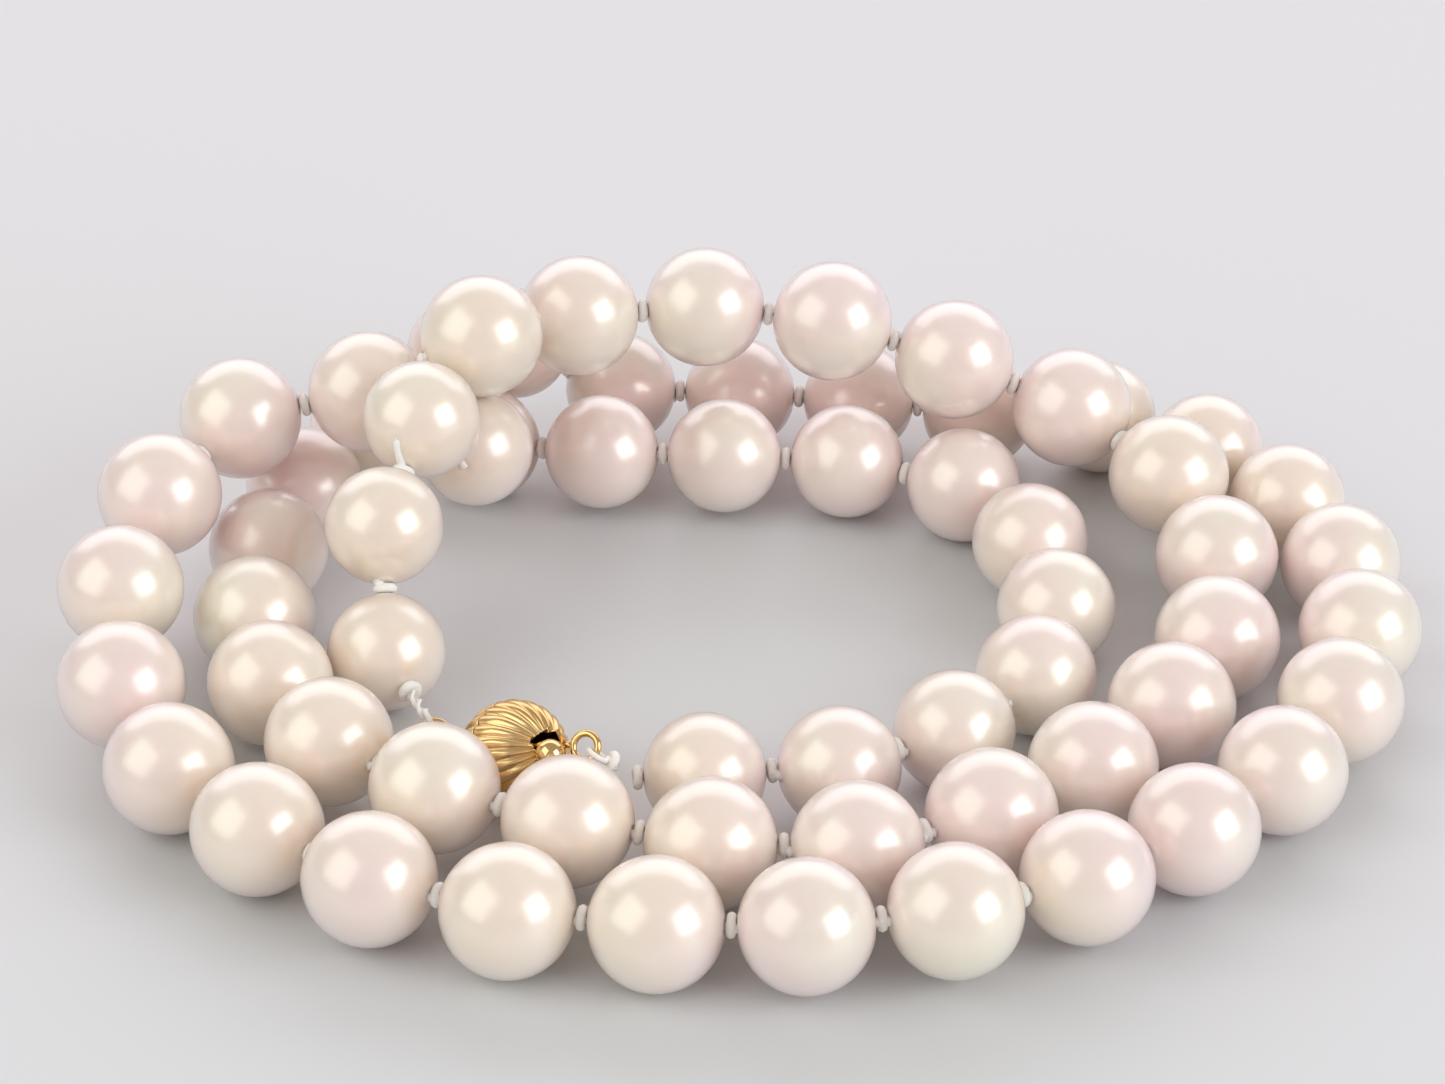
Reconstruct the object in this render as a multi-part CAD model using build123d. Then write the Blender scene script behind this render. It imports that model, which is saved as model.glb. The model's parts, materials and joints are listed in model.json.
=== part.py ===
from build123d import *
import os
from math import cos, pi, sin, sqrt

os.makedirs("parts", exist_ok=True)

# A knotted strand of cultured pearls lying in a loose coil, closed by a fluted
# gold ball clasp.  Millimetres, +Z up, the strand rests on z = 0.

# ---------------------------------------------------------------- driving dimensions
PEARL_COUNT = 64
PEARL_MIDDLE = 7.5      # largest pearl, at the middle of the strand
PEARL_END = 7.0         # smallest pearl, beside the clasp
KNOT_GAP = 0.58         # clear space between neighbouring pearls, filled by one knot
CROSSING_GAP = 0.12     # least clear space between pearls that lie across each other

BORE = 0.80             # drilled hole through a pearl
SILK = 0.70             # doubled silk thread
KNOT_WIDTH = 1.50       # knot measured across the strand
KNOT_PLAY = 0.03        # clear space left at each end of a knot

BALL_RADIUS = 3.2       # clasp ball
BALL_WALL = 0.45
FLUTE_COUNT = 24
FLUTE_RADIUS = 0.17     # half width of the groove between two flutes
MOUTH_LONG = 2.1        # opening in the front of the ball, along the tongue's width
MOUTH_SHORT = 1.7       # opening in the front of the ball, along the tongue's thickness
TONGUE_WIDTH = 1.8
TONGUE_THICK = 0.30
LEAF_WIDTH = 1.4
LEAF_THICK = 0.25
FOLD_Z = -1.7           # where the spring leaf folds back from the tongue, from the ball centre
THUMB_RADIUS = 0.82     # thumb bead
EYE_RADIUS = 0.75       # wire ring that holds the silk, to the wire's centre
EYE_WIRE = 0.20         # radius of the ring's wire
LOOP_RADIUS = 0.55      # loop of silk through an eye, to the thread's centre
LOOP_THREAD = 0.17      # radius of one thread of that loop
END_REACH = 1.30        # how far the silk end by the tongue reaches from its loop's centre

# Where the ball lies and how it is turned: the tongue leaves the ball along
# CLASP_AXIS and the thumb bead and the eye stand apart along CLASP_SIDE.
BALL_CENTRE = Vector(-20.3, -11.2, BALL_RADIUS)
CLASP_AXIS = Vector(0.66, -0.555, 0.507).normalized()
CLASP_SIDE = Vector(0.644, 0.766, 0.0).normalized()

# The way the strand lies, walked from the clasp's tongue back to the clasp's
# rear eye.  Inner run, left turn, middle run, the run lifted over the back,
# outer run, the hidden back run, and the end coming down to the clasp.
ROUTE = [
    (-9.5, -13.5, 3.5), (-2.0, -13.0, 3.6), (5.0, -9.0, 3.5),
    (10.0, -3.0, 3.6), (11.5, 5.0, 3.5), (10.0, 13.0, 3.6),
    (5.5, 19.5, 3.6), (-3.5, 21.3, 3.9), (-13.0, 21.5, 4.2),
    (-23.5, 24.0, 3.6), (-31.8, 25.4, 3.6), (-35.0, 17.5, 3.7),
    (-36.5, 9.0, 3.7), (-36.0, 0.0, 3.8), (-32.5, -9.5, 4.4),
    (-24.0, -17.0, 4.8), (-13.0, -20.5, 4.3), (-4.5, -21.5, 4.0),
    (3.0, -20.5, 4.3), (12.5, -13.0, 3.8), (19.0, -4.0, 3.8),
    (21.5, 5.0, 4.0), (20.5, 12.5, 5.4), (14.0, 21.5, 7.2),
    (6.0, 22.2, 10.6), (-6.0, 23.5, 13.4), (-17.5, 22.0, 13.8),
    (-23.0, 16.5, 15.0), (-30.0, 16.5, 11.0), (-38.0, 15.8, 10.0),
    (-42.5, 9.0, 8.4), (-44.0, -1.0, 6.0), (-41.5, -10.5, 4.2),
    (-34.0, -19.5, 3.9), (-23.5, -26.0, 3.9), (-11.5, -28.0, 3.8),
    (1.0, -28.5, 4.4), (12.0, -23.5, 4.1), (21.0, -16.0, 3.8),
    (27.5, -6.0, 4.1), (29.5, 6.0, 3.9), (26.5, 17.0, 3.7),
    (18.5, 26.0, 3.6), (7.0, 28.0, 3.6), (-5.0, 29.8, 4.0),
    (-16.5, 30.0, 4.4), (-22.8, 29.0, 7.8), (-25.0, 21.8, 9.8),
    (-24.0, 15.0, 8.0), (-26.8, 10.3, 13.2), (-28.5, 4.0, 9.2),
    (-28.2, -1.5, 3.5), (-27.5, -5.0, 1.5),
]


def pearl_diameter(number):
    """Diameter of a pearl by its place on the strand, 1 to PEARL_COUNT."""
    share = (number - 1) / (PEARL_COUNT - 1)
    return PEARL_END + (PEARL_MIDDLE - PEARL_END) * sin(pi * share) ** 0.8


RADII = [pearl_diameter(number) / 2 for number in range(1, PEARL_COUNT + 1)]


def pitch(index):
    """Centre distance from one pearl to the next along the strand."""
    return RADII[index] + KNOT_GAP + RADII[index + 1]


def walk_route():
    """Set the pearls down along the route, each one pitch from the last."""
    path = Spline(*ROUTE)
    travelled = 0.0
    centres = [path.position_at(0.0, position_mode=PositionMode.LENGTH)]
    for index in range(PEARL_COUNT - 1):
        travelled += pitch(index)
        for _ in range(4):
            here = path.position_at(min(travelled, path.length), position_mode=PositionMode.LENGTH)
            travelled += pitch(index) - (here - centres[-1]).length
        centres.append(here)
    return [[point.X, point.Y, point.Z] for point in centres]


def settle(centres):
    """Let the strand settle: neighbours keep their knot, crossing pearls clear
    each other and the clasp ball, and nothing sinks below the floor."""
    start = [list(centre) for centre in centres]
    ball = [BALL_CENTRE.X, BALL_CENTRE.Y, BALL_CENTRE.Z]
    near = []
    for one in range(PEARL_COUNT):
        for two in range(one + 1, PEARL_COUNT):
            apart = sqrt(sum((start[one][k] - start[two][k]) ** 2 for k in range(3)))
            if apart < 14.0:
                near.append((one, two))
    for step in range(1500):
        pull = 0.02 if step < 1000 else 0.0
        for one, two in near:
            gap = [centres[two][k] - centres[one][k] for k in range(3)]
            apart = sqrt(sum(value * value for value in gap))
            if two == one + 1:
                wanted = pitch(one)
            else:
                wanted = max(apart, RADII[one] + RADII[two] + CROSSING_GAP)
            share = 0.5 * (apart - wanted) / apart
            for k in range(3):
                centres[one][k] += share * gap[k]
                centres[two][k] -= share * gap[k]
        for index in range(PEARL_COUNT):
            gap = [centres[index][k] - ball[k] for k in range(3)]
            apart = sqrt(sum(value * value for value in gap))
            lack = RADII[index] + BALL_RADIUS + CROSSING_GAP - apart
            for k in range(3):
                if lack > 0:
                    centres[index][k] += lack * gap[k] / apart
                centres[index][k] += pull * (start[index][k] - centres[index][k])
            centres[index][2] = max(centres[index][2], RADII[index])
    return [Vector(*centre) for centre in centres]


def place_pearls():
    """Centre points of all the pearls."""
    return settle(walk_route())


# ================================================================ layout done

# ---------------------------------------------------------------- shapes used more than once
def rod(start, end, radius):
    """A round rod from one point to another."""
    along = end - start
    return Plane(origin=start, z_dir=along) * extrude_disc(radius, along.length)


def extrude_disc(radius, length):
    """A cylinder standing on the plane's origin."""
    return Cylinder(radius, length, align=(Align.CENTER, Align.CENTER, Align.MIN))


def bore_direction(centres, index):
    """Direction of a pearl's drilled hole: from its previous neighbour to its next."""
    before = centres[max(index - 1, 0)]
    after = centres[min(index + 1, len(centres) - 1)]
    return (after - before).normalized()


def ring(centre, normal, radius, wire):
    """A closed ring of round wire."""
    return Plane(origin=centre, z_dir=normal) * Torus(radius, wire)


def knot(centre, along, length):
    """A silk knot: a fat barrel with rounded ends."""
    barrel = Cylinder(KNOT_WIDTH / 2, length)
    barrel = fillet(barrel.edges().filter_by(GeomType.CIRCLE), min(0.22, length * 0.4))
    return Plane(origin=centre, z_dir=along) * barrel


# ---------------------------------------------------------------- pearls
def make_pearl(centre, direction, radius):
    """One drilled pearl."""
    drilled = Sphere(radius) - Cylinder(BORE / 2, radius * 3)
    return Plane(origin=centre, z_dir=direction) * drilled


CENTRES = place_pearls()

# Bring the middle of the whole strand over the origin, clasp and all.
LEFT = min(centre.X - radius for centre, radius in zip(CENTRES, RADII))
RIGHT = max(centre.X + radius for centre, radius in zip(CENTRES, RADII))
FRONT = min(centre.Y - radius for centre, radius in zip(CENTRES, RADII))
BACK = max(centre.Y + radius for centre, radius in zip(CENTRES, RADII))
SHIFT = Vector(-(LEFT + RIGHT) / 2, -(FRONT + BACK) / 2, 0)
CENTRES = [centre + SHIFT for centre in CENTRES]
BALL_CENTRE = BALL_CENTRE + SHIFT
CLASP = Plane(origin=BALL_CENTRE, x_dir=CLASP_SIDE, z_dir=CLASP_AXIS)
BORES = [bore_direction(CENTRES, index) for index in range(PEARL_COUNT)]

# The first and last pearl are drilled toward the clasp's eyes.
TONGUE_EYE = CLASP.from_local_coords(Vector(0.90, -0.50, 5.10))
TONGUE_EYE_NORMAL = (CLASP.from_local_coords(Vector(-0.80, 0.38, 0.46)) - BALL_CENTRE).normalized()
BACK_EYE = BALL_CENTRE + Vector(-4.7, 3.1, -0.6)
BACK_EYE_NORMAL = Vector(0.10, -0.75, 0.65).normalized()
BORES[0] = (CENTRES[1] - CENTRES[0]).normalized()
BORES[-1] = (BACK_EYE - CENTRES[-1]).normalized()


# ---------------------------------------------------------------- silk
def loop_through_eye(eye, eye_normal, toward):
    """Silk loop caught in an eye on the side facing `toward`: its centre, its
    outward direction, and the loop itself."""
    pull = toward - eye
    pull = (pull - eye_normal * pull.dot(eye_normal)).normalized()
    middle = eye + pull * (EYE_RADIUS + 0.12)
    outward = (toward - middle).normalized()
    side = outward.cross(eye_normal).normalized()
    return middle, outward, ring(middle, side, LOOP_RADIUS, LOOP_THREAD)


def make_knotted_silk():
    """The silk from the knot beside the first pearl to the loop in the rear eye:
    a run of thread through every pearl and a knot in every gap, meeting face to face."""
    knot_length = KNOT_GAP - 2 * KNOT_PLAY
    threads = []
    entries = []
    exits = []
    for index in range(PEARL_COUNT):
        here = CENTRES[index]
        along = BORES[index]
        reach = RADII[index] + KNOT_GAP / 2
        came = (here - CENTRES[index - 1]).normalized() if index > 0 else along
        goes = (CENTRES[index + 1] - here).normalized() if index < PEARL_COUNT - 1 else along
        entries.append(here - along * (reach / along.dot(came)))
        exits.append(here + along * (reach / along.dot(goes)))
        threads.append(rod(entries[-1] + along * 0.18, exits[-1] - along * 0.18, SILK / 2))
    knots = [knot(entries[0], BORES[0], knot_length)]
    for index in range(PEARL_COUNT - 1):
        chord = (CENTRES[index + 1] - CENTRES[index]).normalized()
        leaving = exits[index]
        entering = entries[index + 1]
        lump = knot((leaving + entering) / 2, chord, knot_length)
        if (entering - leaving).length > 0.5:
            lump = lump.fuse(rod(leaving, entering, knot_length * 0.36))
        knots.append(lump)
    knots.append(knot(exits[-1], BORES[-1], knot_length))
    pieces = list(knots)
    for index in range(PEARL_COUNT):
        pieces.append(threads[index] - knots[index] - knots[index + 1])
    middle, outward, loop = loop_through_eye(BACK_EYE, BACK_EYE_NORMAL, exits[-1])
    tie = rod(middle + outward * LOOP_RADIUS, exits[-1], SILK / 2) - knots[-1]
    pieces.append(loop.fuse(tie))
    solids = [solid for piece in pieces for solid in piece.solids() if solid.volume > 0.01]
    return Compound(children=solids)


def make_silk_end_loop():
    """The short silk end that stays in the tongue's eye when the strand is opened."""
    first = CENTRES[0] - BORES[0] * (RADII[0] + KNOT_GAP / 2)
    middle, outward, loop = loop_through_eye(TONGUE_EYE, TONGUE_EYE_NORMAL, first)
    start = middle + outward * LOOP_RADIUS
    end = middle + outward * END_REACH
    return loop.fuse(rod(start, end, SILK / 2), knot(start + outward * 0.35, outward, 0.5))


# ---------------------------------------------------------------- clasp
def make_ball():
    """Hollow fluted ball with its mouth at the front pole and a small hole at the rear."""
    ball = Sphere(BALL_RADIUS)
    for number in range(FLUTE_COUNT):
        arc = CenterArc((0, 0), BALL_RADIUS + 0.05, -64, 128)
        turned = Rot(0, 0, 360 / FLUTE_COUNT * number) * Rot(90, 0, 0) * arc
        start = turned @ 0
        groove = sweep(Plane(origin=start, z_dir=turned % 0) * Circle(FLUTE_RADIUS), turned)
        ball -= groove
    ball -= Sphere(BALL_RADIUS - BALL_WALL)
    ball -= Pos(0, 0, BALL_RADIUS) * Box(MOUTH_SHORT, MOUTH_LONG, 2.0)
    return ball


def half(ball, sign):
    """One stamped half of the ball: +1 the front, -1 the rear."""
    return ball & (Pos(0, 0, sign * 5) * Box(20, 20, 10))


def make_catch_plate():
    """Flat plate inside the front half with the window the tongue passes through."""
    height = 1.2
    reach = sqrt((BALL_RADIUS - BALL_WALL) ** 2 - (height + 0.3) ** 2) - 0.02
    plate = Pos(0, 0, height) * Cylinder(reach, 0.3, align=(Align.CENTER, Align.CENTER, Align.MIN))
    return plate - Pos(0, 0, height) * Box(1.7, 2.1, 2.0)


def make_tongue():
    """Flat tongue that slides into the ball, with its fold at the inner end."""
    blade = Pos(0.45, 0, FOLD_Z) * Box(
        TONGUE_THICK, TONGUE_WIDTH, 3.95 - FOLD_Z, align=(Align.CENTER, Align.CENTER, Align.MIN)
    )
    fold = Pos(0.18, 0, FOLD_Z) * Rot(90, 0, 0) * Cylinder(0.42, TONGUE_WIDTH)
    fold -= Pos(0.18, 0, FOLD_Z) * Rot(90, 0, 0) * Cylinder(0.17, TONGUE_WIDTH * 2)
    fold -= Pos(0.18, 0, FOLD_Z + 1) * Box(4, 4, 2)
    return blade.fuse(fold)


def make_spring_leaf():
    """Leaf that springs back from the fold toward the mouth and carries the thumb bead."""
    start = Vector(-0.115, 0, FOLD_Z + 0.02)
    end = Vector(-0.62, 0, 3.35)
    along = end - start
    leaf = Plane(origin=start, x_dir=(1, 0, 0.1), z_dir=along) * Box(
        LEAF_THICK, LEAF_WIDTH, along.length, align=(Align.CENTER, Align.CENTER, Align.MIN)
    )
    return leaf


THUMB_CENTRE = Vector(-0.77, 0, 4.05)


def make_thumb_bead():
    """Polished bead on the end of the spring leaf."""
    return Pos(THUMB_CENTRE) * Sphere(THUMB_RADIUS) - make_spring_leaf()


def make_tongue_eye():
    """Wire ring on the tongue's outer end, with the short stub that joins it."""
    local_eye = CLASP.to_local_coords(TONGUE_EYE)
    local_normal = CLASP.to_local_coords(BALL_CENTRE + TONGUE_EYE_NORMAL)
    stub_foot = Vector(0.45, 0, 3.95)
    inward = stub_foot - local_eye
    inward = (inward - local_normal * inward.dot(local_normal)).normalized()
    rim = local_eye + inward * EYE_RADIUS
    stub = rod(stub_foot + Vector(0, 0, 0.2), rim, EYE_WIRE * 0.9)
    foot = Pos(stub_foot) * Box(TONGUE_THICK, 0.7, 0.4, align=(Align.CENTER, Align.CENTER, Align.MIN))
    return ring(local_eye, local_normal, EYE_RADIUS, EYE_WIRE).fuse(stub).fuse(foot)


def make_back_eye():
    """Wire ring behind the ball, on a bent stem soldered into the rear pole."""
    local_eye = CLASP.to_local_coords(BACK_EYE)
    local_normal = CLASP.to_local_coords(BALL_CENTRE + BACK_EYE_NORMAL)
    elbow = Vector(0, 0, -BALL_RADIUS - 0.45)
    inward = elbow - local_eye
    inward = (inward - local_normal * inward.dot(local_normal)).normalized()
    rim = local_eye + inward * EYE_RADIUS
    foot = Vector(0, 0, -BALL_RADIUS + BALL_WALL + 0.1)
    stem = rod(foot, elbow, EYE_WIRE * 1.2).fuse(
        Pos(elbow) * Sphere(EYE_WIRE * 1.2),
        rod(elbow, rim, EYE_WIRE * 1.2),
    )
    return ring(local_eye, local_normal, EYE_RADIUS, EYE_WIRE).fuse(stem)


# ---------------------------------------------------------------- write every node
def write(shape, name):
    """Write one node's STEP file."""
    shape.label = name
    export_step(shape, os.path.join("parts", name + ".step"))


# Pearls of the lowest run, pinned under the runs that lie over them.
PINNED = list(range(8, 15)) + list(range(54, 62))

lower_run = []
for number in range(1, PEARL_COUNT + 1):
    index = number - 1
    pearl = make_pearl(CENTRES[index], BORES[index], RADII[index])
    if number in PINNED:
        lower_run.append(pearl)
    else:
        write(pearl, "pearl_%02d" % number)
write(Compound(children=lower_run), "lower_run_pearls")

write(make_knotted_silk(), "knotted_silk")
write(make_silk_end_loop(), "silk_end_loop")

ball = make_ball()
back_eye = make_back_eye()
write(CLASP * (half(ball, 1)), "clasp_ball_front")
write(CLASP * (half(ball, -1) - back_eye), "clasp_ball_back")
write(CLASP * back_eye, "clasp_back_eye")
write(CLASP * make_catch_plate(), "clasp_catch_plate")
write(CLASP * make_tongue(), "clasp_tongue")
write(CLASP * make_spring_leaf(), "clasp_spring_leaf")
write(CLASP * make_thumb_bead(), "clasp_thumb_bead")
write(CLASP * make_tongue_eye(), "clasp_tongue_eye")
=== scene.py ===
"""The look of a knotted pearl necklace with a fluted gold ball clasp."""

import json
import math

import bmesh
import bpy
from mathutils import Matrix, Vector, noise


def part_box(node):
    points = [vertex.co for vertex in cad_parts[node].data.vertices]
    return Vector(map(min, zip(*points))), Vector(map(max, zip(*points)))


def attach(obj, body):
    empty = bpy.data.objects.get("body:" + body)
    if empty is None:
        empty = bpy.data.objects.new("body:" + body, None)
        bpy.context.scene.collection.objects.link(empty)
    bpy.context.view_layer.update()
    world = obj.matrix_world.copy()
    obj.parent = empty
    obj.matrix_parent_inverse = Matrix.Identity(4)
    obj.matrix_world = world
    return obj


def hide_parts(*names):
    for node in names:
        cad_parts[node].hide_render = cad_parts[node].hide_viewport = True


bl_info = {
    "name": "Knotted pearl necklace",
    "version": (1, 0, 0),
    "blender": (4, 5, 0),
    "location": "View3D > Sidebar > Necklace",
    "description": "Pearls, knotted silk and a fluted ball clasp around the packed strand",
    "category": "Object",
}

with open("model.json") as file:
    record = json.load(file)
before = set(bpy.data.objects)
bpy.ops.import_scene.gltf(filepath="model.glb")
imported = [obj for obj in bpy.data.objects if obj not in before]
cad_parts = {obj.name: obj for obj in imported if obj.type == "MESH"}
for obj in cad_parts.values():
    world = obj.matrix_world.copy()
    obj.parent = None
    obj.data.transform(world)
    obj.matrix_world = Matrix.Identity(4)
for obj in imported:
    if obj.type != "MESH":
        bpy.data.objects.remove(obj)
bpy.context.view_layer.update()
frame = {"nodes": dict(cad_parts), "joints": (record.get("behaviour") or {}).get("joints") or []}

MM = 0.001
PEARL_COUNT = 64
KNOT_GAP = 0.58 * MM
LOWER_RUN = list(range(8, 15)) + list(range(54, 62))
JOINTS = {joint["name"]: joint for joint in frame["joints"]}


# ---------------------------------------------------------------- sizes and colours
class NecklaceSizes(bpy.types.PropertyGroup):
    """Sizes of the parts that are modelled here."""

    knot_width: bpy.props.FloatProperty(
        name="Knot width", description="Width of a silk knot across the strand",
        default=1.45 * MM, unit="LENGTH")
    ply_radius: bpy.props.FloatProperty(
        name="Ply radius", description="Radius of one of the two plies of silk",
        default=0.17 * MM, unit="LENGTH")
    flute_count: bpy.props.IntProperty(
        name="Flutes", description="Number of ribs round the clasp's ball", default=24)
    flute_depth: bpy.props.FloatProperty(
        name="Flute depth", description="Depth of the grooves between the ribs",
        default=0.17 * MM, unit="LENGTH")
    ball_wall: bpy.props.FloatProperty(
        name="Ball wall", description="Thickness of the ball's stamped halves",
        default=0.40 * MM, unit="LENGTH")
    wire_radius: bpy.props.FloatProperty(
        name="Eye wire radius", description="Radius of the wire of the two eyes",
        default=0.20 * MM, unit="LENGTH")
    eye_radius: bpy.props.FloatProperty(
        name="Eye radius", description="Radius of the eyes to the middle of their wire",
        default=0.75 * MM, unit="LENGTH")
    bead_radius: bpy.props.FloatProperty(
        name="Thumb bead radius", description="Radius of the bead that releases the clasp",
        default=0.82 * MM, unit="LENGTH")


def tint(title, words, red, green, blue):
    """A colour that a user can change."""
    return bpy.props.FloatVectorProperty(
        name=title, description=words, subtype="COLOR", size=3,
        min=0.0, max=1.0, default=(red, green, blue))


class NecklaceColours(bpy.types.PropertyGroup):
    """Colours of the finishes."""

    pearl_cream: tint("Cream", "Body colour of the pearls", 0.95, 0.80, 0.69)
    pearl_rose: tint("Rose", "Rose overtone of the nacre", 0.95, 0.76, 0.73)
    pearl_green: tint("Green", "Green-ivory overtone of the nacre", 0.91, 0.85, 0.70)
    gold_light: tint("Gold", "Polished yellow gold", 0.86, 0.62, 0.30)
    gold_deep: tint("Deep gold", "Gold where it is less rubbed", 0.74, 0.46, 0.16)
    silk_white: tint("Silk", "Silk thread", 0.95, 0.93, 0.90)
    floor_grey: tint("Surface", "Smooth pale surface under the strand", 0.69, 0.695, 0.715)


# ---------------------------------------------------------------- shader maths
def feed(tree, socket, value):
    """Put a number, a colour or another socket's value into a socket."""
    if isinstance(value, Signal):
        tree.links.new(value.socket, socket)
    elif hasattr(value, "__len__") and socket.type == "RGBA" and len(value) == 3:
        socket.default_value = (*value, 1.0)
    else:
        socket.default_value = value


class Signal:
    """The value of a socket, so that shader maths reads as an expression."""

    def __init__(self, tree, socket):
        self.tree = tree
        self.socket = socket

    def math(self, operation, one, two):
        """One Math node."""
        node = self.tree.nodes.new("ShaderNodeMath")
        node.operation = operation
        feed(self.tree, node.inputs[0], one)
        feed(self.tree, node.inputs[1], two)
        return Signal(self.tree, node.outputs[0])

    def __add__(self, other):
        return self.math("ADD", self, other)

    def __radd__(self, other):
        return self.math("ADD", other, self)

    def __sub__(self, other):
        return self.math("SUBTRACT", self, other)

    def __rsub__(self, other):
        return self.math("SUBTRACT", other, self)

    def __mul__(self, other):
        return self.math("MULTIPLY", self, other)

    def __rmul__(self, other):
        return self.math("MULTIPLY", other, self)

    def __truediv__(self, other):
        return self.math("DIVIDE", self, other)

    def __rtruediv__(self, other):
        return self.math("DIVIDE", other, self)


class Finish:
    """A material made node by node."""

    def __init__(self, name):
        self.material = bpy.data.materials.new(name)
        self.material.use_nodes = True
        self.tree = self.material.node_tree
        self.tree.nodes.clear()

    def node(self, kind, settings, sockets, output=0):
        """Add a node: its settings first, then its sockets' values or links."""
        made = self.tree.nodes.new("ShaderNode" + kind)
        for key, value in settings.items():
            if key == "stops":
                while len(made.color_ramp.elements) < len(value):
                    made.color_ramp.elements.new(0.5)
                for element, (place, colour) in zip(made.color_ramp.elements, value):
                    element.position = place
                    element.color = (*colour, 1.0)
            else:
                setattr(made, key, value)
        for key, value in sockets.items():
            feed(self.tree, made.inputs[key], value)
        return Signal(self.tree, made.outputs[output])

    def place(self):
        """The point on the piece, in metres."""
        return self.node("TexCoord", {}, {}, "Object")

    def speckle(self, scale, detail=2.0, roughness=0.5):
        """Noise from 0 to 1 that is fixed to the piece."""
        return self.node("TexNoise", {"noise_dimensions": "3D"},
                         {"Vector": self.place(), "Scale": scale, "Detail": detail,
                          "Roughness": roughness}, 0)

    def contrast(self, value, low, high):
        """Spread the part of a value between low and high over 0 to 1."""
        return self.node("MapRange", {"clamp": True, "interpolation_type": "SMOOTHSTEP"},
                         {"Value": value, "From Min": low, "From Max": high}, 0)

    def blend(self, share, one, two):
        """Mix two colours."""
        return self.node("Mix", {"data_type": "RGBA"}, {0: share, 6: one, 7: two}, 2)

    def bump(self, height, strength, distance):
        """Surface relief."""
        return self.node("Bump", {}, {"Strength": strength, "Distance": distance,
                                      "Height": height}, 0)

    def close(self, sockets):
        """The shader itself, wired to the output."""
        shader = self.node("BsdfPrincipled", {"subsurface_method": "BURLEY"}, sockets, 0)
        output = self.tree.nodes.new("ShaderNodeOutputMaterial")
        self.tree.links.new(shader.socket, output.inputs["Surface"])
        return self.material


def nacre_finish(colours):
    """Nacre: a deep satin lustre under a clear skin, with drifting overtones,
    fine growth wrinkles and a few pin-prick dimples."""
    look = Finish("nacre_lustre")
    drift = look.contrast(look.speckle(55.0, 1.5), 0.38, 0.62)
    moss = look.contrast(look.speckle(83.0, 2.0), 0.50, 0.72)
    body = look.blend(drift, tuple(colours.pearl_cream), tuple(colours.pearl_rose))
    body = look.blend(moss * 0.6, body, tuple(colours.pearl_green))
    cloud = look.contrast(look.speckle(420.0, 3.0), 0.30, 0.75)
    body = look.blend(cloud * 0.12, body, (0.97, 0.93, 0.90))
    wrinkle = look.speckle(900.0, 4.0, 0.6)
    dimple = look.node("TexVoronoi", {"feature": "F1"}, {"Vector": look.place(), "Scale": 260.0}, 0)
    pit = look.contrast(dimple, 0.10, 0.0)
    relief = wrinkle * 0.25 - pit * 0.9
    rough = 0.30 + 0.10 * cloud
    return look.close({
        "Base Color": body,
        "Metallic": 0.06,
        "Roughness": rough,
        "IOR": 1.60,
        "Subsurface Weight": 0.5,
        "Subsurface Radius": (1.0, 0.60, 0.38),
        "Subsurface Scale": 0.0024,
        "Coat Weight": 1.0,
        "Coat Roughness": 0.24,
        "Coat IOR": 2.0,
        "Thin Film Thickness": 420.0,
        "Thin Film IOR": 1.45,
        "Normal": look.bump(relief, 0.22, 0.00005),
    })


def silk_finish(colours):
    """Twisted silk: fine fibres across each ply, slightly see-through."""
    look = Finish("silk_twist")
    fibre = look.speckle(9000.0, 3.0, 0.6)
    shade = look.contrast(look.speckle(700.0, 2.0), 0.35, 0.7)
    colour = look.blend(shade * 0.5, tuple(colours.silk_white), (0.93, 0.88, 0.84))
    return look.close({
        "Base Color": colour,
        "Roughness": 0.5 + 0.2 * fibre,
        "Subsurface Weight": 0.3,
        "Subsurface Radius": (1.0, 0.9, 0.8),
        "Subsurface Scale": 0.0003,
        "Normal": look.bump(fibre, 0.5, 0.00003),
    })


def gold_finish(colours, name, roughness):
    """Yellow gold, polished, with faint rubbing marks."""
    look = Finish(name)
    rub = look.speckle(1400.0, 4.0, 0.65)
    patch = look.contrast(look.speckle(380.0, 2.0), 0.35, 0.70)
    colour = look.blend(patch * 0.55, tuple(colours.gold_light), tuple(colours.gold_deep))
    return look.close({
        "Base Color": colour,
        "Metallic": 1.0,
        "Roughness": roughness + 0.10 * rub,
        "Normal": look.bump(rub, 0.08, 0.00002),
    })


def floor_finish(colours):
    """Smooth pale board with a soft gloss."""
    look = Finish("pale_board")
    tone = look.contrast(look.speckle(9.0, 2.0), 0.3, 0.7)
    colour = look.blend(tone * 0.35, tuple(colours.floor_grey), (0.72, 0.71, 0.715))
    return look.close({
        "Base Color": colour,
        "Roughness": 0.42 + 0.05 * tone,
        "Specular IOR Level": 0.5,
    })


def finish(name):
    """A finish that has been made already, or a new one."""
    colours = bpy.context.scene.necklace_colours
    if name in bpy.data.materials:
        return bpy.data.materials[name]
    makers = {
        "nacre_lustre": lambda: nacre_finish(colours),
        "silk_twist": lambda: silk_finish(colours),
        "gold_fluted": lambda: gold_finish(colours, "gold_fluted", 0.17),
        "gold_polished": lambda: gold_finish(colours, "gold_polished", 0.08),
        "pale_board": lambda: floor_finish(colours),
    }
    return makers[name]()


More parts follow.
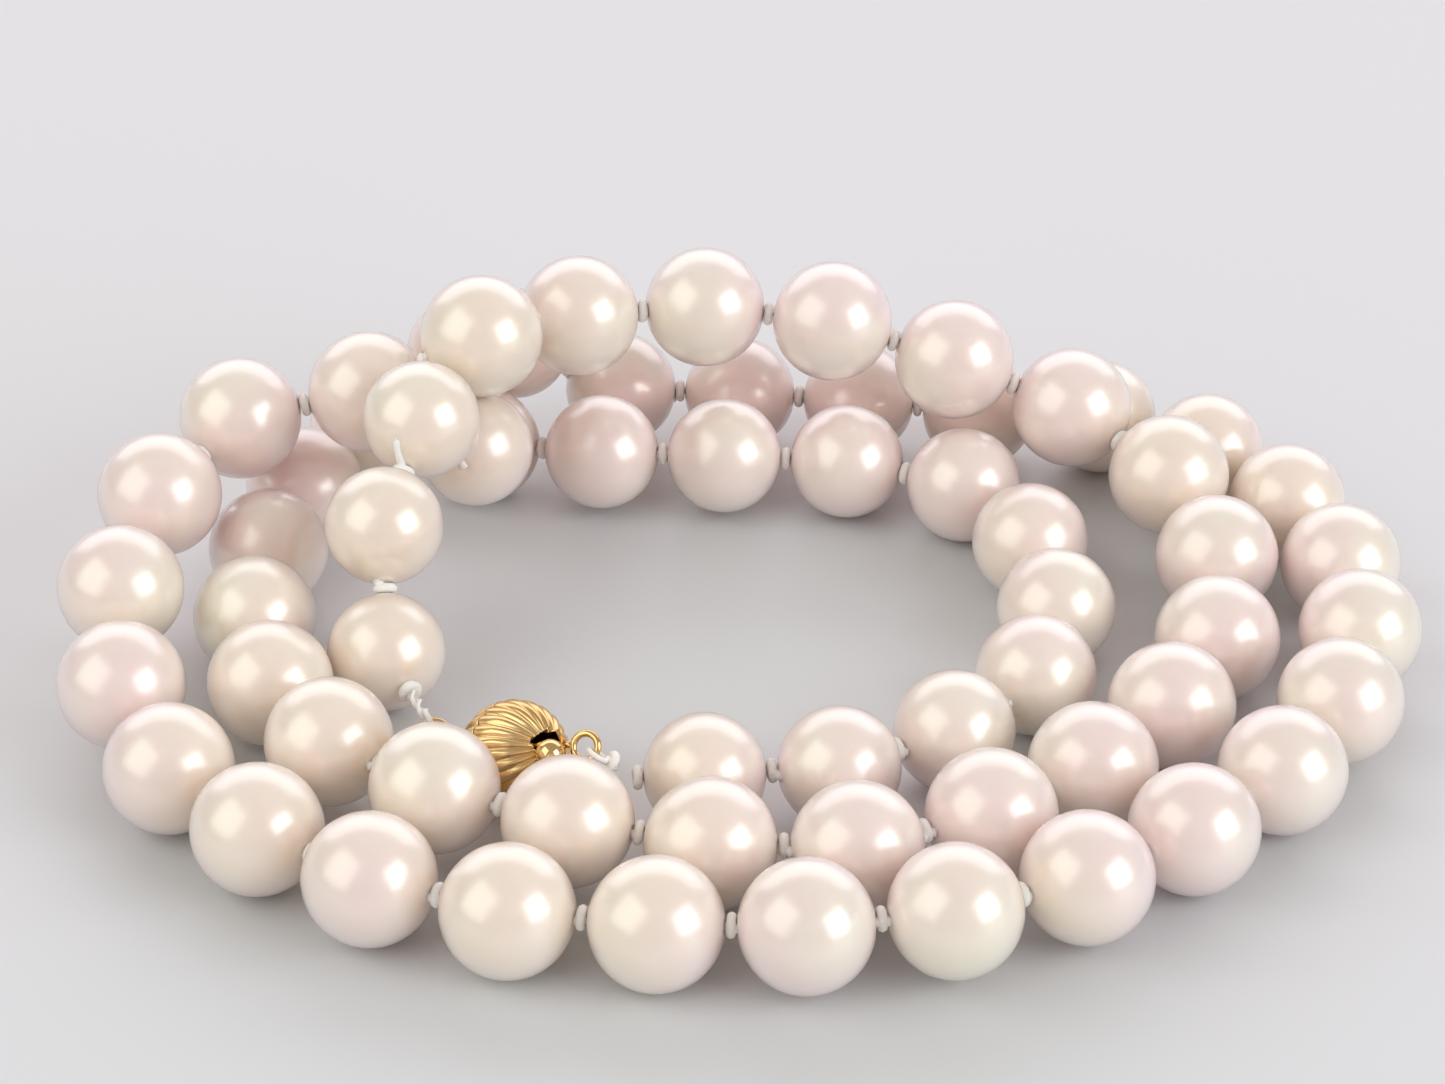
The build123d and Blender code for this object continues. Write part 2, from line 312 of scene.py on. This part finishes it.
# ---------------------------------------------------------------- where things lie
def islands(node):
    """Middle of each separate solid in a CAD node, from a merged copy of its mesh."""
    copy = bmesh.new()
    copy.from_mesh(frame["nodes"][node].data)
    bmesh.ops.remove_doubles(copy, verts=copy.verts[:], dist=1e-6)
    left = set(copy.verts)
    middles = []
    while left:
        batch = [left.pop()]
        group = []
        while batch:
            vert = batch.pop()
            group.append(vert.co.copy())
            for edge in vert.link_edges:
                other = edge.other_vert(vert)
                if other in left:
                    left.remove(other)
                    batch.append(other)
        low = Vector([min(point[k] for point in group) for k in range(3)])
        high = Vector([max(point[k] for point in group) for k in range(3)])
        middles.append(((low + high) / 2, max(high - low) / 2))
    copy.free()
    return middles


def find_pearls():
    """Middle and radius of every pearl, numbered along the strand."""
    found = {}
    for number in range(1, PEARL_COUNT + 1):
        if number not in LOWER_RUN:
            low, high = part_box("pearl_%02d" % number)
            middle = Vector(JOINTS["pearl_%02d_spin" % number]["pos_m"])
            found[number] = (middle, max(high - low) / 2)
    loose = islands("lower_run_pearls")
    for number in LOWER_RUN:
        before, radius = found[number - 1]

        def misfit(pearl):
            return abs((pearl[0] - before).length - (radius + KNOT_GAP + pearl[1]))

        nearest = min(loose, key=misfit)
        if misfit(nearest) > 0.1 * MM:
            raise RuntimeError("pearl %d has no place in the lower run" % number)
        loose.remove(nearest)
        found[number] = nearest
    return found


PEARLS = find_pearls()


def bore_direction(number):
    """Direction of a pearl's drilled hole."""
    joint = JOINTS.get("pearl_%02d_spin" % number)
    if joint:
        return Vector(joint["axis"]).normalized()
    return (PEARLS[number + 1][0] - PEARLS[number - 1][0]).normalized()


def turned(middle, along, side=None):
    """Matrix that puts local Z along a direction, at a point."""
    along = along.normalized()
    side = side or (Vector((0, 0, 1)) if abs(along.z) < 0.9 else Vector((1, 0, 0)))
    across = (side - along * side.dot(along)).normalized()
    up = along.cross(across)
    matrix = Matrix((across, up, along)).transposed().to_4x4()
    matrix.translation = middle
    return matrix


CLASP_AXIS = Vector(JOINTS["clasp_tongue_slide"]["axis"]).normalized()
CLASP_UP = Vector(JOINTS["clasp_leaf_press"]["axis"]).normalized()
CLASP_SIDE = CLASP_UP.cross(CLASP_AXIS).normalized()
BALL_LOW = Vector([min(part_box("clasp_ball_front")[0][k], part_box("clasp_ball_back")[0][k]) for k in range(3)])
BALL_HIGH = Vector([max(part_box("clasp_ball_front")[1][k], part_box("clasp_ball_back")[1][k]) for k in range(3)])
BALL_CENTRE = (BALL_LOW + BALL_HIGH) / 2
BALL_RADIUS = 3.2 * MM
CLASP = turned(BALL_CENTRE, CLASP_AXIS, CLASP_SIDE)
TONGUE_EYE = CLASP @ Vector((0.90 * MM, -0.50 * MM, 5.10 * MM))
TONGUE_EYE_NORMAL = (CLASP.to_3x3() @ Vector((-0.80, 0.38, 0.46))).normalized()
THUMB_BEAD = CLASP @ Vector((-0.77 * MM, 0.0, 4.05 * MM))
BACK_EYE = BALL_CENTRE + Vector((-4.7, 3.1, -0.6)) * MM
BACK_EYE_NORMAL = Vector((0.10, -0.75, 0.65)).normalized()


# ---------------------------------------------------------------- pieces
def piece(name, mesh_edit, material, body, nodes=(), smooth=True):
    """Turn a bmesh into a named piece that rides a body of the frame."""
    mesh = bpy.data.meshes.new(name)
    mesh_edit.to_mesh(mesh)
    mesh_edit.free()
    made = bpy.data.objects.new(name, mesh)
    bpy.context.scene.collection.objects.link(made)
    mesh.materials.append(finish(material))
    for face in mesh.polygons:
        face.use_smooth = smooth
    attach(made, body)
    if nodes:
        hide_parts(*nodes)
    return made


def add_sphere(shape, matrix, radius, around, rings):
    """A sphere whose poles lie on the matrix's Z axis."""
    return bmesh.ops.create_uvsphere(
        shape, u_segments=around, v_segments=rings, radius=radius, matrix=matrix)["verts"]


def add_coil(shape, matrix, coil_radius, wire_radius, turns, rise, steps, sides=8):
    """Round wire wound round the matrix's Z axis; a whole turn with no rise closes."""
    start = bmesh.ops.create_circle(
        shape, cap_ends=False, radius=wire_radius, segments=sides,
        matrix=Matrix.Translation((coil_radius, 0, -rise / 2)) @ Matrix.Rotation(math.pi / 2, 4, "X"))
    edges = list({edge for vert in start["verts"] for edge in vert.link_edges})
    closed = rise == 0 and turns == 1
    spun = bmesh.ops.spin(
        shape, geom=start["verts"] + edges, cent=(0, 0, 0), axis=(0, 0, 1),
        dvec=(0, 0, rise / steps), angle=2 * math.pi * turns, steps=steps,
        use_merge=closed, use_duplicate=False)
    before = set(start["verts"])
    fresh = connected(before)
    if not closed:
        last = [item for item in spun["geom_last"] if isinstance(item, bmesh.types.BMEdge)]
        bmesh.ops.contextual_create(shape, geom=edges)
        bmesh.ops.contextual_create(shape, geom=last)
    bmesh.ops.recalc_face_normals(shape, faces=list({f for v in fresh for f in v.link_faces}))
    bmesh.ops.transform(shape, matrix=matrix, verts=fresh)
    return fresh


def connected(seed):
    """Every vertex that hangs together with the seed."""
    reached = set(seed)
    batch = list(seed)
    while batch:
        vert = batch.pop()
        for edge in vert.link_edges:
            other = edge.other_vert(vert)
            if other not in reached:
                reached.add(other)
                batch.append(other)
    return list(reached)


def add_rod(shape, start, end, radius, sides=16):
    """A round rod between two points."""
    along = end - start
    matrix = turned((start + end) / 2, along)
    return bmesh.ops.create_cone(
        shape, cap_ends=True, segments=sides, radius1=radius, radius2=radius,
        depth=along.length, matrix=matrix)["verts"]


def add_twist(shape, start, end, ply):
    """Two plies of silk twisted round each other between two points."""
    along = end - start
    turns = along.length / (2.2 * MM)
    matrix = turned((start + end) / 2, along)
    steps = max(6, int(turns * 14))
    for half_turn in (0.0, math.pi):
        add_coil(shape, matrix @ Matrix.Rotation(half_turn, 4, "Z"), ply, ply, turns,
                 along.length, steps)


def add_knot(shape, middle, along, width, thickness, start_angle):
    """A pulled-tight silk knot: two wraps across each other round the strand."""
    wire = thickness / 2 * 0.98
    around = width / 2 - wire
    for tilt, swing in ((0.22, 0.0), (-0.22, 1.9)):
        matrix = (turned(middle, along) @ Matrix.Rotation(start_angle + swing, 4, "Z")
                  @ Matrix.Rotation(tilt * 0.35, 4, "X"))
        add_coil(shape, matrix, around, wire, 1, 0, 20)
    core = turned(middle, along) @ Matrix.Diagonal((1, 1, 0.55, 1))
    add_sphere(shape, core, around * 1.0, 12, 6)


class NECKLACE_OT_pearls(bpy.types.Operator):
    """Make the pearls, each a little uneven, drilled along the strand"""

    bl_idname = "necklace.pearls"
    bl_label = "Pearls"

    def execute(self, context):
        for number, (middle, radius) in PEARLS.items():
            shape = bmesh.new()
            matrix = turned(middle, bore_direction(number))
            verts = add_sphere(shape, matrix, radius, 64, 40)
            for vert in verts:
                away = (vert.co - middle).normalized()
                where = away * 1.1 + Vector((number * 3.7, 0, 0))
                uneven = noise.noise(where) * 0.0045 - 0.0022
                poles = max(0.0, abs(away.dot(bore_direction(number))) - 0.985) / 0.015
                vert.co = middle + away * radius * (1 + uneven - 0.03 * poles ** 2)
            single = number not in LOWER_RUN
            body = "pearl_%02d_body" % number if single else "strand"
            nodes = ["pearl_%02d" % number] if single else ["lower_run_pearls"]
            piece("nacre_pearl_%02d" % number, shape, "nacre_lustre", body, nodes)
        return {"FINISHED"}


class NECKLACE_OT_silk(bpy.types.Operator):
    """Knot the silk between the pearls and tie it into the clasp's rear eye"""

    bl_idname = "necklace.silk"
    bl_label = "Knotted silk"

    def execute(self, context):
        sizes = context.scene.necklace_sizes
        shape = bmesh.new()
        spots = []
        for number in range(0, PEARL_COUNT + 1):
            if number in (0, PEARL_COUNT):
                middle, radius = PEARLS[max(number, 1)]
                along = bore_direction(max(number, 1))
                away = 1 if number else -1
                spot = middle + along * away * (radius + KNOT_GAP / 2)
            else:
                middle, radius = PEARLS[number]
                along = (PEARLS[number + 1][0] - middle).normalized()
                spot = middle + along * (radius + KNOT_GAP / 2)
            spots.append(spot)
            add_knot(shape, spot, along, sizes.knot_width, KNOT_GAP - 0.04 * MM, number * 1.3)
        for number, (middle, radius) in PEARLS.items():
            along = bore_direction(number)
            mouths = [middle - along * radius * 0.97, middle + along * radius * 0.97]
            add_rod(shape, mouths[0], mouths[1], sizes.ply_radius * 1.9, 10)
            for mouth, spot in zip(mouths, (spots[number - 1], spots[number])):
                add_rod(shape, mouth, spot, sizes.ply_radius * 1.5, 10)
        tie_loop(shape, BACK_EYE, BACK_EYE_NORMAL, spots[PEARL_COUNT], sizes, None)
        piece("silk_strand", shape, "silk_twist", "strand", ["knotted_silk"])
        return {"FINISHED"}


def tie_loop(shape, eye, eye_normal, toward, sizes, reach):
    """Silk loop round an eye's wire, with its twisted tail toward the strand."""
    pull = toward - eye
    pull = (pull - eye_normal * pull.dot(eye_normal)).normalized()
    middle = eye + pull * (sizes.eye_radius + 0.12 * MM)
    outward = (toward - middle).normalized()
    side = outward.cross(eye_normal).normalized()
    add_coil(shape, turned(middle, side), 0.55 * MM, sizes.ply_radius, 1, 0, 28)
    start = middle + outward * 0.55 * MM
    end = toward if reach is None else middle + outward * reach
    add_twist(shape, start, end, sizes.ply_radius)
    return start, outward


class NECKLACE_OT_silk_end(bpy.types.Operator):
    """Tie the silk end into the tongue's eye"""

    bl_idname = "necklace.silk_end"
    bl_label = "Silk end at the tongue"

    def execute(self, context):
        sizes = context.scene.necklace_sizes
        shape = bmesh.new()
        middle, radius = PEARLS[1]
        first = middle - bore_direction(1) * (radius + KNOT_GAP / 2)
        start, outward = tie_loop(shape, TONGUE_EYE, TONGUE_EYE_NORMAL, first, sizes, 1.30 * MM)
        add_knot(shape, start + outward * 0.35 * MM, outward, sizes.knot_width, 0.5 * MM, 0.4)
        piece("silk_end_at_tongue", shape, "silk_twist", "clasp_tongue", ["silk_end_loop"])
        return {"FINISHED"}


class NECKLACE_OT_ball(bpy.types.Operator):
    """Stamp the two fluted halves of the clasp's ball"""

    bl_idname = "necklace.ball"
    bl_label = "Fluted ball"

    def execute(self, context):
        sizes = context.scene.necklace_sizes
        for sign, node in ((1, "clasp_ball_front"), (-1, "clasp_ball_back")):
            shape = bmesh.new()
            count = sizes.flute_count
            verts = add_sphere(shape, Matrix.Identity(4), BALL_RADIUS, count * 10, 60)
            for vert in verts:
                flat = math.hypot(vert.co.x, vert.co.y)
                turn = math.atan2(vert.co.y, vert.co.x)
                wave = abs(math.sin(turn * count / 2)) ** 0.75
                fade = min(1.0, flat / (1.5 * MM))
                depth = sizes.flute_depth * (1 - wave) * fade
                vert.co *= 1 - depth / BALL_RADIUS
            everything = shape.verts[:] + shape.edges[:] + shape.faces[:]
            bmesh.ops.bisect_plane(shape, geom=everything, plane_co=(0, 0, 0),
                                   plane_no=(0, 0, -sign), clear_outer=True)
            if sign > 0:
                for spot, way in (((0.85 * MM, 0, 0), (1, 0, 0)), ((-0.85 * MM, 0, 0), (1, 0, 0)),
                                  ((0, 1.05 * MM, 0), (0, 1, 0)), ((0, -1.05 * MM, 0), (0, 1, 0))):
                    everything = shape.verts[:] + shape.edges[:] + shape.faces[:]
                    bmesh.ops.bisect_plane(shape, geom=everything, plane_co=spot, plane_no=way)
                mouth = [face for face in shape.faces
                         if abs(face.calc_center_median().x) < 0.85 * MM
                         and abs(face.calc_center_median().y) < 1.05 * MM]
                bmesh.ops.delete(shape, geom=mouth, context="FACES")
            else:
                pole = [face for face in shape.faces
                        if math.hypot(face.calc_center_median().x, face.calc_center_median().y) < 0.25 * MM]
                bmesh.ops.delete(shape, geom=pole, context="FACES")
            bmesh.ops.remove_doubles(shape, verts=shape.verts[:], dist=1e-7)
            bmesh.ops.transform(shape, matrix=CLASP, verts=shape.verts[:])
            half = piece(node.replace("clasp_ball", "fluted_ball"), shape, "gold_fluted", "strand",
                         [node])
            wall = half.modifiers.new("wall", "SOLIDIFY")
            wall.thickness = sizes.ball_wall
            wall.offset = -1
        return {"FINISHED"}


class NECKLACE_OT_thumb_bead(bpy.types.Operator):
    """Turn the polished bead that releases the clasp"""

    bl_idname = "necklace.thumb_bead"
    bl_label = "Thumb bead"

    def execute(self, context):
        sizes = context.scene.necklace_sizes
        shape = bmesh.new()
        add_sphere(shape, turned(THUMB_BEAD, CLASP_AXIS), sizes.bead_radius, 48, 32)
        piece("polished_thumb_bead", shape, "gold_polished", "clasp_leaf", ["clasp_thumb_bead"])
        return {"FINISHED"}


class NECKLACE_OT_eyes(bpy.types.Operator):
    """Bend the wire eyes in front of and behind the ball"""

    bl_idname = "necklace.eyes"
    bl_label = "Wire eyes"

    def execute(self, context):
        sizes = context.scene.necklace_sizes
        for name, node, body, eye, normal, feet in (
            ("wire_eye_tongue", "clasp_tongue_eye", "clasp_tongue", TONGUE_EYE, TONGUE_EYE_NORMAL,
             [CLASP @ Vector((0.52 * MM, 0, 3.80 * MM))]),
            ("wire_eye_back", "clasp_back_eye", "strand", BACK_EYE, BACK_EYE_NORMAL,
             [CLASP @ Vector((0, 0, -3.65 * MM)), CLASP @ Vector((0, 0, -2.65 * MM))]),
        ):
            shape = bmesh.new()
            add_coil(shape, turned(eye, normal), sizes.eye_radius, sizes.wire_radius, 1, 0, 48, 16)
            inward = feet[0] - eye
            inward = (inward - normal * inward.dot(normal)).normalized()
            path = [eye + inward * sizes.eye_radius] + feet
            for start, end in zip(path, path[1:]):
                add_rod(shape, start, end, sizes.wire_radius)
                add_sphere(shape, turned(end, end - start), sizes.wire_radius, 16, 10)
            piece(name, shape, "gold_polished", body, [node])
        return {"FINISHED"}


class NECKLACE_OT_inner_clasp(bpy.types.Operator):
    """Gild the tongue, its spring leaf and the catch plate"""

    bl_idname = "necklace.inner_clasp"
    bl_label = "Tongue, leaf and catch plate"

    def execute(self, context):
        for node in ("clasp_tongue", "clasp_spring_leaf", "clasp_catch_plate"):
            mesh = frame["nodes"][node].data
            mesh.materials.clear()
            mesh.materials.append(finish("gold_polished"))
        return {"FINISHED"}


def add_panel(name, place, size_x, size_y, power, colour, target):
    """A soft rectangular light that faces the strand."""
    lamp = bpy.data.lights.new(name, "AREA")
    lamp.shape = "RECTANGLE"
    lamp.size = size_x
    lamp.size_y = size_y
    lamp.energy = power
    lamp.color = colour
    made = bpy.data.objects.new(name, lamp)
    bpy.context.scene.collection.objects.link(made)
    made.location = place
    made.rotation_euler = (Vector(target) - Vector(place)).to_track_quat("-Z", "Y").to_euler()
    return made


class NECKLACE_OT_stage(bpy.types.Operator):
    """Set the pale surface, the soft lights and the camera"""

    bl_idname = "necklace.stage"
    bl_label = "Surface, lights and camera"

    def execute(self, context):
        scene = context.scene
        shape = bmesh.new()
        bmesh.ops.create_grid(shape, x_segments=2, y_segments=2, size=1.5)
        mesh = bpy.data.meshes.new("surface")
        shape.to_mesh(mesh)
        shape.free()
        floor = bpy.data.objects.new("surface", mesh)
        scene.collection.objects.link(floor)
        mesh.materials.append(finish("pale_board"))
        middle = (0.0, 0.0, 0.005)
        add_panel("right_softbox", (0.54, -0.33, 0.31), 0.46, 0.44, 2.6, (0.86, 0.95, 1.0), middle)
        add_panel("left_window", (-0.50, -0.28, 0.42), 0.66, 0.66, 2.0, (0.90, 1.0, 0.95), middle)
        add_panel("back_panel", (0.0, 0.72, 0.44), 1.8, 0.66, 5.0, (0.98, 0.92, 0.99), middle)
        world = scene.world or bpy.data.worlds.new("room")
        scene.world = world
        world.use_nodes = True
        backdrop = world.node_tree.nodes.get("Background")
        backdrop.inputs["Color"].default_value = (0.98, 0.90, 0.86, 1.0)
        backdrop.inputs["Strength"].default_value = 0.48
        lens = bpy.data.cameras.new("camera")
        lens.sensor_width = 36.0
        lens.lens = 100.67
        lens.clip_start = 0.01
        camera = bpy.data.objects.new("camera", lens)
        scene.collection.objects.link(camera)
        camera.location = (-1.076 * MM, -201.82 * MM, 132.10 * MM)
        camera.rotation_euler = (math.radians(90 - 31.12), 0, 0)
        scene.camera = camera
        scene.view_settings.view_transform = "Standard"
        return {"FINISHED"}


class NECKLACE_PT_parts(bpy.types.Panel):
    """Lists the steps that build the necklace"""

    bl_label = "Knotted pearl necklace"
    bl_idname = "NECKLACE_PT_parts"
    bl_space_type = "VIEW_3D"
    bl_region_type = "UI"
    bl_category = "Necklace"

    def draw(self, context):
        for step in STEPS:
            self.layout.operator(step.bl_idname)
        for group in (context.scene.necklace_sizes, context.scene.necklace_colours):
            for key in group.bl_rna.properties.keys():
                if key not in ("rna_type", "name"):
                    self.layout.prop(group, key)


STEPS = [
    NECKLACE_OT_pearls,
    NECKLACE_OT_silk,
    NECKLACE_OT_silk_end,
    NECKLACE_OT_ball,
    NECKLACE_OT_thumb_bead,
    NECKLACE_OT_eyes,
    NECKLACE_OT_inner_clasp,
    NECKLACE_OT_stage,
]
CLASSES = [NecklaceSizes, NecklaceColours, *STEPS, NECKLACE_PT_parts]


def register():
    """Make the property groups, operators and panel known."""
    for item in CLASSES:
        bpy.utils.register_class(item)
    bpy.types.Scene.necklace_sizes = bpy.props.PointerProperty(type=NecklaceSizes)
    bpy.types.Scene.necklace_colours = bpy.props.PointerProperty(type=NecklaceColours)


def unregister():
    """Take them away again."""
    del bpy.types.Scene.necklace_sizes
    del bpy.types.Scene.necklace_colours
    for item in reversed(CLASSES):
        bpy.utils.unregister_class(item)


def main():
    """Build every piece in order."""
    register()
    for step in STEPS:
        group, name = step.bl_idname.split(".")
        getattr(getattr(bpy.ops, group), name)()
    bpy.context.view_layer.update()


if __name__ == "__main__":
    main()
